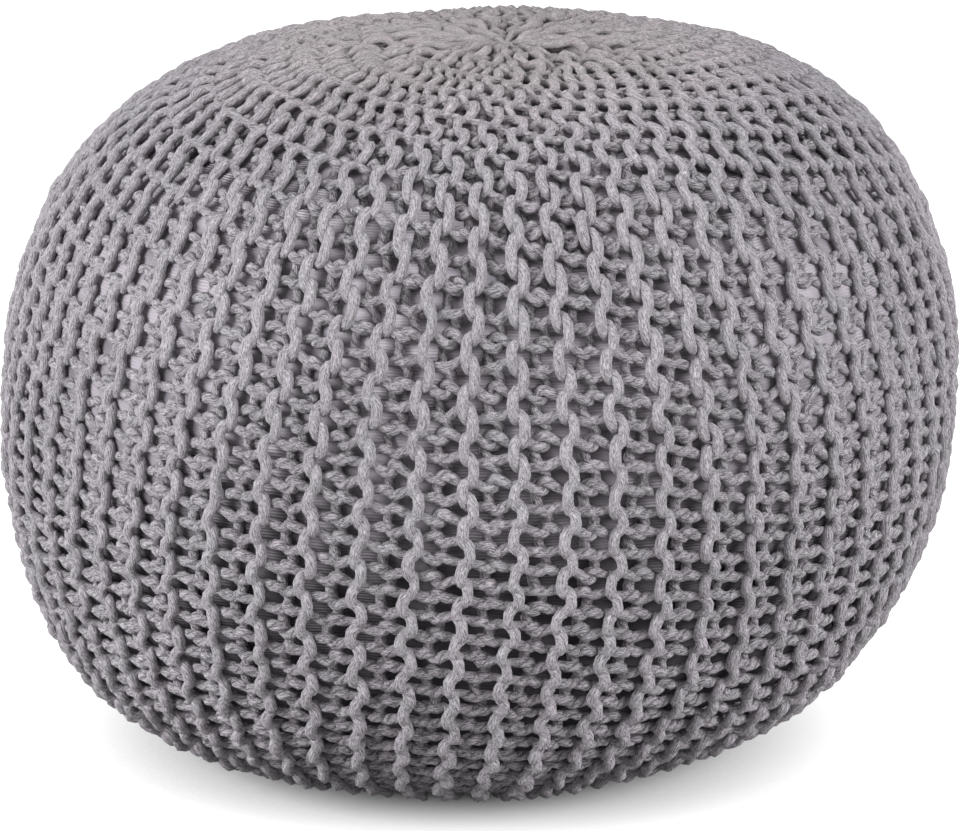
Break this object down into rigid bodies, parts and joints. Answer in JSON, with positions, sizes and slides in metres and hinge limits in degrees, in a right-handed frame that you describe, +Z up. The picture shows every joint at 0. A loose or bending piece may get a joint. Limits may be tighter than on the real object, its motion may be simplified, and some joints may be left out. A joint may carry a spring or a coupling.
{
  "type": "knitted pouf",
  "caption": "Round knitted floor pouf: a filled soft seat or footrest, ribbed from pole to pole, drawn in at the crown and flat where it stands.",
  "frame": {"origin": "on the floor, under the middle of the pouf's widest level", "axes": "+Z up, +X to the right and +Y away as seen from the front; the filling has settled towards -X at the floor"},
  "size_m": [0.4999, 0.4998, 0.3709],
  "materials": {
    "yarn": "soft, loosely twisted mauve-grey yarn in chunky garter stitch"
  },
  "bodies": {
    "root": {"pouf": "yarn"}
  },
  "joints": []
}
